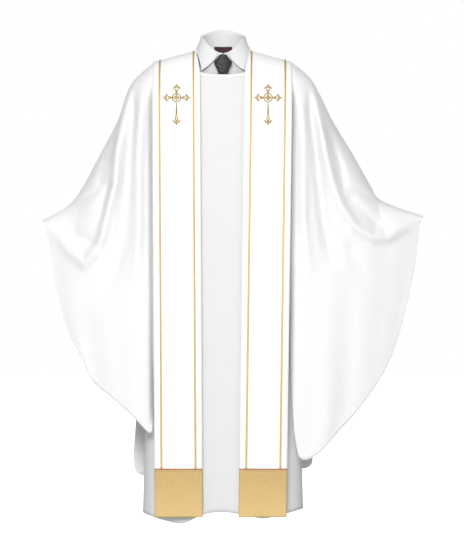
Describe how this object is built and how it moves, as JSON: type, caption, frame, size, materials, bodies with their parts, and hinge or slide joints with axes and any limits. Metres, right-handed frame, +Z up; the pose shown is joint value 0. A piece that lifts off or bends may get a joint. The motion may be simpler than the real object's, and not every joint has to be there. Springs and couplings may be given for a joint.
{
  "type": "chasuble vestment set",
  "caption": "White chasuble with draped wings over a full-length under-gown, with a gold-trimmed stole, shirt collar and tie.",
  "frame": {"origin": "middle of the shoulder line, where the wearer's shoulders carry the set", "axes": "+Z up, the front faces -Y, +X to the viewer's right when seen from the front"},
  "size_m": [1.1097, 0.2942, 1.428],
  "materials": {
    "alb_cloth": "smooth matt cotton and polyester weave, light grey-white",
    "block_edging": "woven brown and red edging",
    "button_plastic": "small white shirt button",
    "chasuble_cloth": "soft white crepe with a faint sheen",
    "collar_cloth": "white poplin, starched",
    "gold_braid": "narrow woven gold braid",
    "gold_brocade": "gold brocade with a fine upright rib",
    "gold_embroidery": "gold satin-stitch embroidery",
    "label_cloth": "dark woven label, blank",
    "shirt_cloth": "light grey poplin",
    "stole_cloth": "close white satin",
    "stole_lining": "plain white lining satin",
    "tie_cloth": "black woven silk"
  },
  "bodies": {
    "vestment": {"alb_back": "alb_cloth", "alb_forearm_left": "alb_cloth", "alb_forearm_right": "alb_cloth", "alb_front": "alb_cloth", "alb_neck_band_back": "alb_cloth", "alb_neck_band_front": "alb_cloth", "alb_sleeve_left": "alb_cloth", "alb_sleeve_right": "alb_cloth", "alb_yoke_back": "alb_cloth", "alb_yoke_front": "alb_cloth", "chasuble_back_left": "chasuble_cloth", "chasuble_back_right": "chasuble_cloth", "chasuble_front_left": "chasuble_cloth", "chasuble_front_right": "chasuble_cloth", "collar_button": "button_plastic", "neck_label": "label_cloth", "shirt_collar_fall": "collar_cloth", "shirt_collar_stand": "shirt_cloth", "shirt_front_left": "shirt_cloth", "shirt_front_right": "shirt_cloth", "stole_band_left_upper": "stole_cloth", "stole_band_right_upper": "stole_cloth", "stole_braid_left_inner_upper": "gold_braid", "stole_braid_left_outer_upper": "gold_braid", "stole_braid_right_inner_upper": "gold_braid", "stole_braid_right_outer_upper": "gold_braid", "stole_cross_left": "gold_embroidery", "stole_cross_right": "gold_embroidery", "stole_lining_left_upper": "stole_lining", "stole_lining_right_upper": "stole_lining", "stole_yoke": "stole_cloth", "stole_yoke_lining": "stole_lining", "tie_blade": "tie_cloth", "tie_knot": "tie_cloth", "tie_neck_loop": "tie_cloth", "tie_tail": "tie_cloth"},
    "stole_left_end": {"stole_band_left_lower": "stole_cloth", "stole_block_edging_left": "block_edging", "stole_block_left": "gold_brocade", "stole_braid_left_inner_lower": "gold_braid", "stole_braid_left_outer_lower": "gold_braid", "stole_lining_left_lower": "stole_lining"},
    "stole_right_end": {"stole_band_right_lower": "stole_cloth", "stole_block_edging_right": "block_edging", "stole_block_right": "gold_brocade", "stole_braid_right_inner_lower": "gold_braid", "stole_braid_right_outer_lower": "gold_braid", "stole_lining_right_lower": "stole_lining"}
  },
  "joints": [
    {"name": "stole_left_end_swing", "type": "hinge", "parent": "vestment", "child": "stole_left_end", "pos_m": [-0.132, -0.1327, -0.262], "axis": [-1, 0, 0], "range_deg": [0, 40]},
    {"name": "stole_right_end_swing", "type": "hinge", "parent": "vestment", "child": "stole_right_end", "pos_m": [0.129, -0.1327, -0.262], "axis": [-1, 0, 0], "range_deg": [0, 40]}
  ]
}
